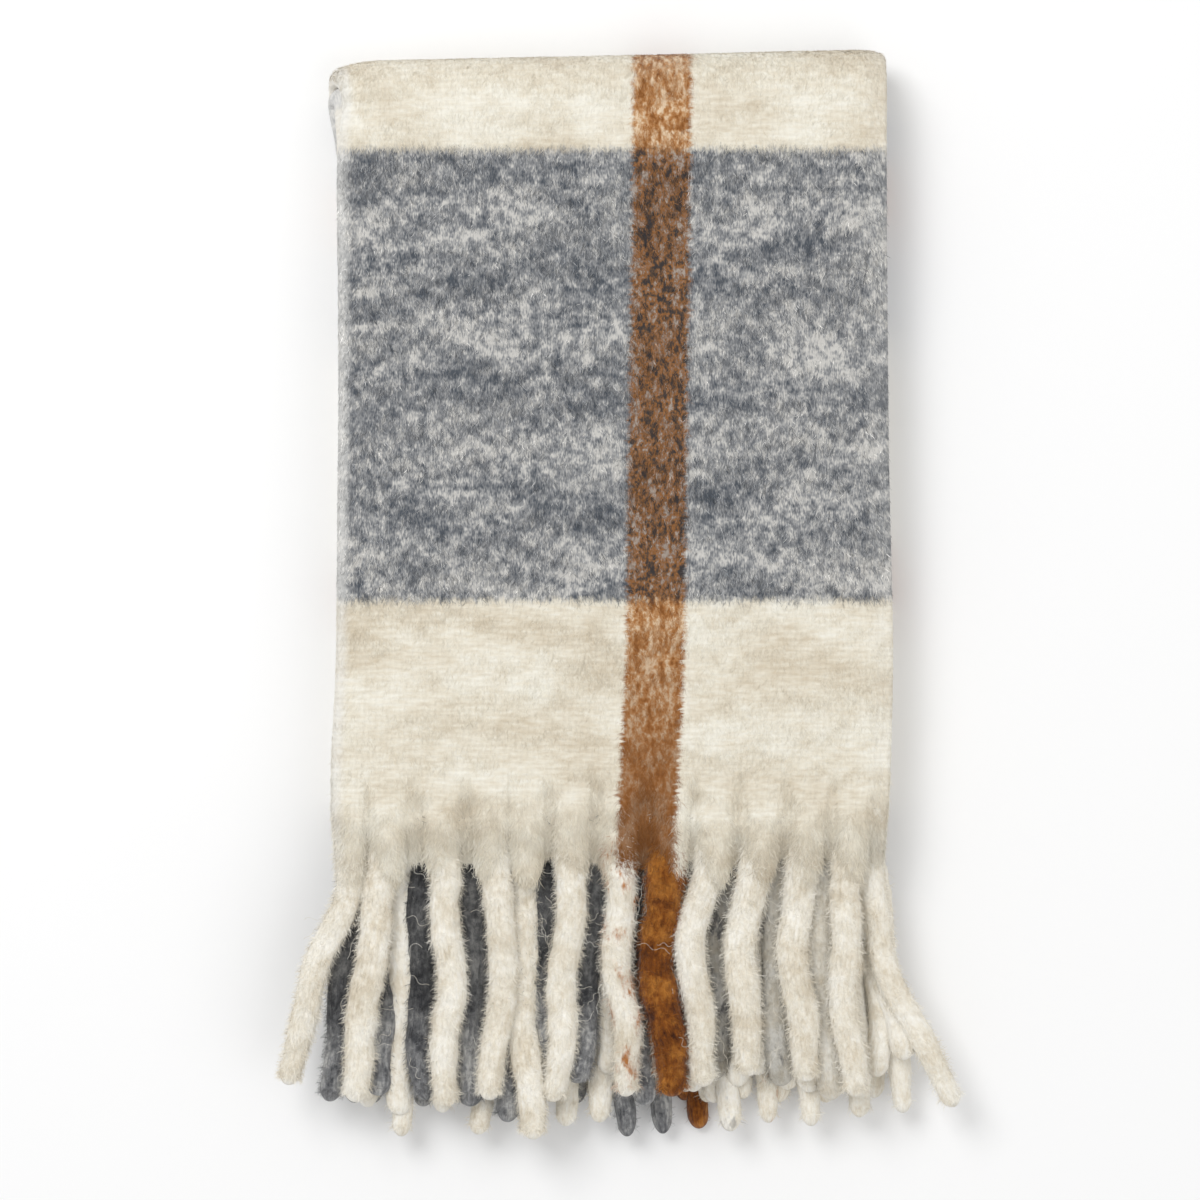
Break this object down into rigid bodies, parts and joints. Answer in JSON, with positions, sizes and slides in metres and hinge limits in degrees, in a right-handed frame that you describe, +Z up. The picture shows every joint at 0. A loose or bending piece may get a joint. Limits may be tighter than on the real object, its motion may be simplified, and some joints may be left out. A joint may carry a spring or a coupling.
{
  "type": "folded throw blanket",
  "caption": "Brushed plaid throw blanket folded flat into four leaves, with a thick twisted-tassel fringe along one end.",
  "frame": {"origin": "centre of the folded throw's box, fringes included, on the surface it lies on", "axes": "+Z up through the stack of leaves, +Y from the fringe towards the last fold, +X to the right of someone who looks down at the throw with the fringe nearest to them"},
  "size_m": [0.406, 0.6395, 0.0478],
  "materials": {
    "plaid_cloth": "brushed woven wool plaid, ivory with slate grey bands and ochre stripes",
    "ivory_tassel": "felted ivory wool",
    "slate_tassel": "felted slate grey wool",
    "ochre_tassel": "felted ochre wool"
  },
  "bodies": {
    "lower_half": {"under_leaf_face_ply": "plaid_cloth", "under_leaf_second_ply": "plaid_cloth", "under_leaf_third_ply": "plaid_cloth", "under_leaf_back_ply": "plaid_cloth", "under_leaf_left_rolls": "plaid_cloth", "under_leaf_right_roll": "plaid_cloth", "ground_leaf_face_ply": "plaid_cloth", "ground_leaf_second_ply": "plaid_cloth", "ground_leaf_third_ply": "plaid_cloth", "ground_leaf_back_ply": "plaid_cloth", "ground_leaf_left_rolls": "plaid_cloth", "ground_leaf_right_roll": "plaid_cloth", "outer_top_fold": "plaid_cloth", "inner_top_fold": "plaid_cloth", "middle_fold": "plaid_cloth"},
    "upper_half": {"front_leaf_face_ply": "plaid_cloth", "front_leaf_second_ply": "plaid_cloth", "front_leaf_third_ply": "plaid_cloth", "front_leaf_back_ply": "plaid_cloth", "front_leaf_left_rolls": "plaid_cloth", "front_leaf_right_roll": "plaid_cloth", "back_leaf_face_ply": "plaid_cloth", "back_leaf_second_ply": "plaid_cloth", "back_leaf_third_ply": "plaid_cloth", "back_leaf_back_ply": "plaid_cloth", "back_leaf_left_rolls": "plaid_cloth", "back_leaf_right_roll": "plaid_cloth", "front_row_2_ivory_tassels": "ivory_tassel", "front_row_2_slate_tassels": "slate_tassel", "front_row_3_ivory_tassels": "ivory_tassel", "front_row_3_slate_tassels": "slate_tassel", "front_row_4_ivory_tassels": "ivory_tassel", "back_row_1_ivory_tassels": "ivory_tassel", "back_row_2_ivory_tassels": "ivory_tassel", "back_row_2_slate_tassels": "slate_tassel", "back_row_3_ivory_tassels": "ivory_tassel", "back_row_3_slate_tassels": "slate_tassel", "back_row_4_ivory_tassels": "ivory_tassel", "back_row_4_ochre_tassel": "ochre_tassel"},
    "front_fringe": {"front_row_1_ivory_tassels": "ivory_tassel", "front_row_1_ochre_tassel": "ochre_tassel"},
    "left_corner_tassel": {"left_corner_tassel": "ivory_tassel"},
    "right_corner_tassel": {"right_corner_tassel": "ivory_tassel"}
  },
  "joints": [
    {"name": "top_fold", "type": "hinge", "parent": "lower_half", "child": "upper_half", "pos_m": [0, 0.2961, 0.0239], "axis": [-1, 0, 0], "range_deg": [0, 179.5], "deforming": ["outer_top_fold", "inner_top_fold"]},
    {"name": "front_fringe_lift", "type": "hinge", "parent": "upper_half", "child": "front_fringe", "pos_m": [0, -0.13, 0.0478], "axis": [1, 0, 0], "range_deg": [-165, 0]},
    {"name": "left_tassel_swing", "type": "hinge", "parent": "front_fringe", "child": "left_corner_tassel", "pos_m": [-0.15556, -0.1401, 0.0464], "axis": [0, 0, -1], "range_deg": [0, 20]},
    {"name": "right_tassel_swing", "type": "hinge", "parent": "upper_half", "child": "right_corner_tassel", "pos_m": [0.14344, -0.1401, 0.0434], "axis": [0, 0, 1], "range_deg": [0, 20]}
  ]
}
